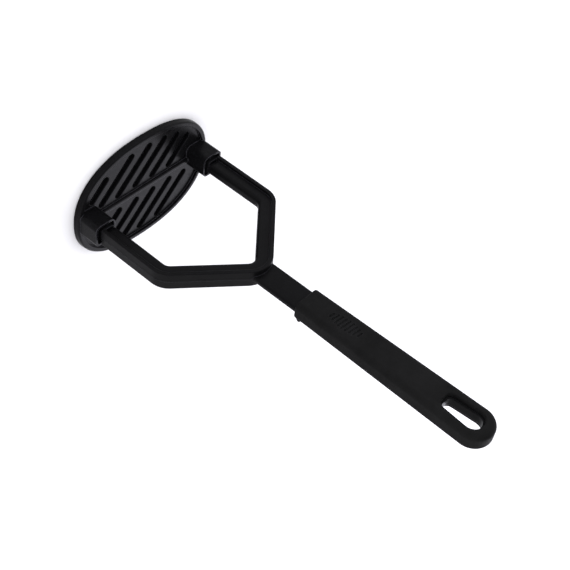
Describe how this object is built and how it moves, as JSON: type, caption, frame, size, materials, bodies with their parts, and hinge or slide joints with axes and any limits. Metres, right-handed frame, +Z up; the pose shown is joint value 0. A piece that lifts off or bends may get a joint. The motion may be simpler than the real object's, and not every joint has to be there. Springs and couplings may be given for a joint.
{
  "type": "potato masher",
  "caption": "Moulded kitchen masher: an oval slotted head, a fork-shaped yoke on a flat shank, and a soft grip with a hanging hole.",
  "frame": {"origin": "middle of the flat mashing face under the head", "axes": "+Z up the handle away from the mashing face, X from arm to arm along the head's long axis, -Y towards the front of the grip, the side with the thumb grooves"},
  "size_m": [0.112, 0.0832, 0.2752],
  "materials": {
    "nylon_head": "smooth satin-gloss black glass-filled nylon",
    "nylon_yoke": "smooth satin-gloss black glass-filled nylon",
    "hard_core": "smooth black moulded plastic",
    "soft_grip": "matte soft-touch charcoal overmould"
  },
  "bodies": {
    "root": {"masher_head": "nylon_head", "yoke": "nylon_yoke", "grip_core": "hard_core", "soft_grip": "soft_grip"}
  },
  "joints": []
}
